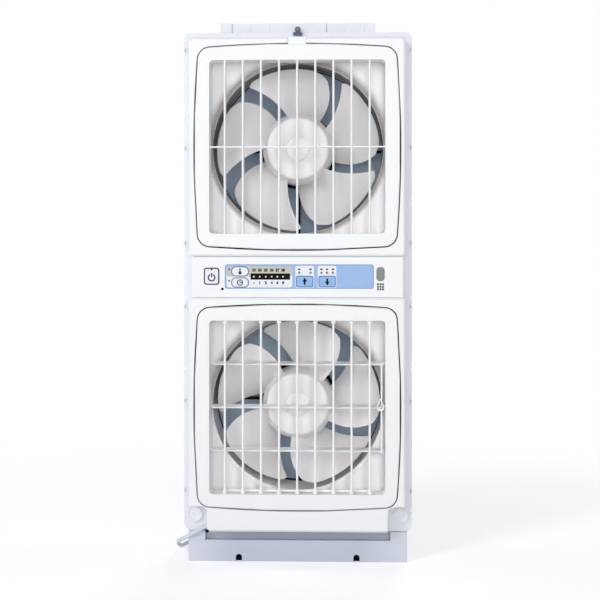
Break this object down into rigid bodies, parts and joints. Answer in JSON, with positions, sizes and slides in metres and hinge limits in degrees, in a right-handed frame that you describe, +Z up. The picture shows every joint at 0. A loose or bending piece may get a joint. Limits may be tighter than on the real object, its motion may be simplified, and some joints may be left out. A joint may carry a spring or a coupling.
{
  "type": "window fan",
  "caption": "Twin window fan: exhaust fan behind fixed bars above, intake fan behind turning vanes and slats below, control strip, shutter doors, brackets and cord.",
  "frame": {"origin": "middle of the fan's footprint on the sill, without its cord", "axes": "+Z up, the grilles face -Y, +X to the right seen from the front"},
  "size_m": [0.2911, 0.2034, 0.6577],
  "materials": {
    "casing_white": "fine moulded texture",
    "duct_white": "fine moulded texture",
    "panel_white": "smooth satin",
    "blade_grey": "smooth satin",
    "shutter_blue": "matt",
    "black_steel": "satin black",
    "bracket_grey": "satin",
    "label_blue": "printed film",
    "dark_window": "gloss",
    "grey_window": "gloss",
    "button_white": "satin",
    "button_blue": "satin",
    "board_green": "board",
    "bright_steel": "turned",
    "motor_grey": "satin",
    "stator_steel": "laminated",
    "bush_bronze": "sintered",
    "screw_navy": "satin",
    "cord_grey": "soft vinyl"
  },
  "bodies": {
    "casing": {"housing": "casing_white", "fan_ducts": "duct_white", "upper_panel": "panel_white", "lower_panel": "panel_white", "control_strip": "panel_white", "upper_grille": "panel_white", "lower_grille": "panel_white", "upper_motor": "motor_grey", "lower_motor": "motor_grey", "motor_bushes": "bush_bronze", "stators": "stator_steel", "upper_carrier": "black_steel", "lower_carrier": "black_steel", "carrier_screws": "bright_steel", "door_rods": "bright_steel", "label_plate": "label_blue", "lamp_window": "dark_window", "receiver_window": "grey_window", "circuit_board": "board_green", "lower_bracket": "bracket_grey", "bracket_ends": "bracket_grey", "strain_relief": "cord_grey", "power_cord": "cord_grey", "cord_coil": "cord_grey", "plug": "cord_grey"},
    "vane_1": {"vane_1": "panel_white"},
    "vane_2": {"vane_2": "panel_white"},
    "vane_3": {"vane_3": "panel_white"},
    "vane_4": {"vane_4": "panel_white"},
    "vane_5": {"vane_5": "panel_white"},
    "vane_6": {"vane_6": "panel_white"},
    "vane_7": {"vane_7": "panel_white"},
    "vane_8": {"vane_8": "panel_white"},
    "vane_9": {"vane_9": "panel_white"},
    "vane_link": {"vane_link": "panel_white"},
    "slat_1": {"slat_1": "panel_white"},
    "slat_2": {"slat_2": "panel_white"},
    "slat_3": {"slat_3": "panel_white"},
    "slat_link": {"slat_link": "panel_white"},
    "upper_impeller": {"upper_fan": "blade_grey", "upper_hub_cap": "blade_grey", "upper_shaft": "bright_steel", "upper_rotor": "stator_steel"},
    "lower_impeller": {"lower_fan": "blade_grey", "lower_hub_cap": "blade_grey", "lower_shaft": "bright_steel", "lower_rotor": "stator_steel"},
    "upper_left_door": {"upper_left_door": "shutter_blue"},
    "upper_right_door": {"upper_right_door": "shutter_blue"},
    "lower_left_door": {"lower_left_door": "shutter_blue"},
    "lower_right_door": {"lower_right_door": "shutter_blue"},
    "power_button": {"power_button": "button_white"},
    "auto_button": {"auto_button": "button_white"},
    "timer_button": {"timer_button": "button_white"},
    "exhaust_button": {"exhaust_button": "button_blue"},
    "intake_button": {"intake_button": "button_blue"},
    "top_bracket": {"top_bracket": "casing_white"},
    "clamp_screw": {"clamp_screw": "screw_navy"},
    "left_knob": {"left_knob": "casing_white"},
    "right_knob": {"right_knob": "casing_white"}
  },
  "joints": [
    {"name": "upper_fan_spin", "type": "hinge", "parent": "casing", "child": "upper_impeller", "pos_m": [0, -0.008, 0.5037], "axis": [0, 1, 0], "continuous": true},
    {"name": "lower_fan_spin", "type": "hinge", "parent": "casing", "child": "lower_impeller", "pos_m": [0, -0.008, 0.1902], "axis": [0, 1, 0], "continuous": true},
    {"name": "vane_5_turn", "type": "hinge", "parent": "casing", "child": "vane_5", "pos_m": [0, -0.0575, 0.1902], "axis": [0, 0, 1], "range_deg": [-35, 35]},
    {"name": "vane_1_turn", "type": "hinge", "parent": "casing", "child": "vane_1", "pos_m": [-0.0872, -0.0575, 0.1902], "axis": [0, 0, 1], "range_deg": [-35, 35]},
    {"name": "vane_2_turn", "type": "hinge", "parent": "casing", "child": "vane_2", "pos_m": [-0.0654, -0.0575, 0.1902], "axis": [0, 0, 1], "range_deg": [-35, 35]},
    {"name": "vane_3_turn", "type": "hinge", "parent": "casing", "child": "vane_3", "pos_m": [-0.0436, -0.0575, 0.1902], "axis": [0, 0, 1], "range_deg": [-35, 35]},
    {"name": "vane_4_turn", "type": "hinge", "parent": "casing", "child": "vane_4", "pos_m": [-0.0218, -0.0575, 0.1902], "axis": [0, 0, 1], "range_deg": [-35, 35]},
    {"name": "vane_6_turn", "type": "hinge", "parent": "casing", "child": "vane_6", "pos_m": [0.0218, -0.0575, 0.1902], "axis": [0, 0, 1], "range_deg": [-35, 35]},
    {"name": "vane_7_turn", "type": "hinge", "parent": "casing", "child": "vane_7", "pos_m": [0.0436, -0.0575, 0.1902], "axis": [0, 0, 1], "range_deg": [-35, 35]},
    {"name": "vane_8_turn", "type": "hinge", "parent": "casing", "child": "vane_8", "pos_m": [0.0654, -0.0575, 0.1902], "axis": [0, 0, 1], "range_deg": [-35, 35]},
    {"name": "vane_9_turn", "type": "hinge", "parent": "casing", "child": "vane_9", "pos_m": [0.0872, -0.0575, 0.1902], "axis": [0, 0, 1], "range_deg": [-35, 35]},
    {"name": "vane_link_shift", "type": "hinge", "parent": "vane_5", "child": "vane_link", "pos_m": [0, -0.0505, 0.0886], "axis": [0, 0, 1], "range_deg": [-50, 50]},
    {"name": "slat_2_tilt", "type": "hinge", "parent": "casing", "child": "slat_2", "pos_m": [0, -0.0408, 0.1891], "axis": [1, 0, 0], "range_deg": [-50, 30]},
    {"name": "slat_1_tilt", "type": "hinge", "parent": "casing", "child": "slat_1", "pos_m": [0, -0.0408, 0.2416], "axis": [1, 0, 0], "range_deg": [-50, 30]},
    {"name": "slat_3_tilt", "type": "hinge", "parent": "casing", "child": "slat_3", "pos_m": [0, -0.0408, 0.1366], "axis": [1, 0, 0], "range_deg": [-50, 30]},
    {"name": "slat_link_shift", "type": "hinge", "parent": "slat_2", "child": "slat_link", "pos_m": [0.1018, -0.04569, 0.18806], "axis": [1, 0, 0], "range_deg": [-45, 70]},
    {"name": "upper_left_door_swing", "type": "hinge", "parent": "casing", "child": "upper_left_door", "pos_m": [-0.1095, 0.0448, 0.5037], "axis": [0, 0, 1], "range_deg": [0, 80], "stiffness_Nm_per_rad": 0.01},
    {"name": "upper_right_door_swing", "type": "hinge", "parent": "casing", "child": "upper_right_door", "pos_m": [0.1095, 0.0448, 0.5037], "axis": [0, 0, -1], "range_deg": [0, 80], "stiffness_Nm_per_rad": 0.01},
    {"name": "lower_left_door_swing", "type": "hinge", "parent": "casing", "child": "lower_left_door", "pos_m": [-0.1095, 0.0448, 0.1902], "axis": [0, 0, 1], "range_deg": [0, 80], "stiffness_Nm_per_rad": 0.01},
    {"name": "lower_right_door_swing", "type": "hinge", "parent": "casing", "child": "lower_right_door", "pos_m": [0.1095, 0.0448, 0.1902], "axis": [0, 0, -1], "range_deg": [0, 80], "stiffness_Nm_per_rad": 0.01},
    {"name": "power_button_press", "type": "slide", "parent": "casing", "child": "power_button", "axis": [0, 1, 0], "range_m": [0, 0.001], "stiffness_N_per_m": 400},
    {"name": "auto_button_press", "type": "slide", "parent": "casing", "child": "auto_button", "axis": [0, 1, 0], "range_m": [0, 0.001], "stiffness_N_per_m": 400},
    {"name": "timer_button_press", "type": "slide", "parent": "casing", "child": "timer_button", "axis": [0, 1, 0], "range_m": [0, 0.001], "stiffness_N_per_m": 400},
    {"name": "exhaust_button_press", "type": "slide", "parent": "casing", "child": "exhaust_button", "axis": [0, 1, 0], "range_m": [0, 0.001], "stiffness_N_per_m": 400},
    {"name": "intake_button_press", "type": "slide", "parent": "casing", "child": "intake_button", "axis": [0, 1, 0], "range_m": [0, 0.001], "stiffness_N_per_m": 400},
    {"name": "top_bracket_slide", "type": "slide", "parent": "casing", "child": "top_bracket", "axis": [0, 0, 1], "range_m": [0, 0.045]},
    {"name": "clamp_screw_turn", "type": "hinge", "parent": "top_bracket", "child": "clamp_screw", "pos_m": [0, -0.034, 0.648], "axis": [0, 1, 0], "range_deg": [-90, 90]},
    {"name": "left_knob_turn", "type": "hinge", "parent": "casing", "child": "left_knob", "pos_m": [-0.1255, -0.04, 0.057], "axis": [0, 1, 0], "range_deg": [0, 90]},
    {"name": "right_knob_turn", "type": "hinge", "parent": "casing", "child": "right_knob", "pos_m": [0.1255, -0.04, 0.057], "axis": [0, 1, 0], "range_deg": [0, 90]}
  ],
  "couplings": [
    {"joint": "vane_1_turn", "follows": "vane_5_turn", "ratio": 1},
    {"joint": "vane_2_turn", "follows": "vane_5_turn", "ratio": 1},
    {"joint": "vane_3_turn", "follows": "vane_5_turn", "ratio": 1},
    {"joint": "vane_4_turn", "follows": "vane_5_turn", "ratio": 1},
    {"joint": "vane_6_turn", "follows": "vane_5_turn", "ratio": 1},
    {"joint": "vane_7_turn", "follows": "vane_5_turn", "ratio": 1},
    {"joint": "vane_8_turn", "follows": "vane_5_turn", "ratio": 1},
    {"joint": "vane_9_turn", "follows": "vane_5_turn", "ratio": 1},
    {"joint": "vane_link_shift", "follows": "vane_5_turn", "ratio": -1},
    {"joint": "slat_1_tilt", "follows": "slat_2_tilt", "ratio": 1},
    {"joint": "slat_3_tilt", "follows": "slat_2_tilt", "ratio": 1},
    {"joint": "slat_link_shift", "follows": "slat_2_tilt", "ratio": -1}
  ]
}
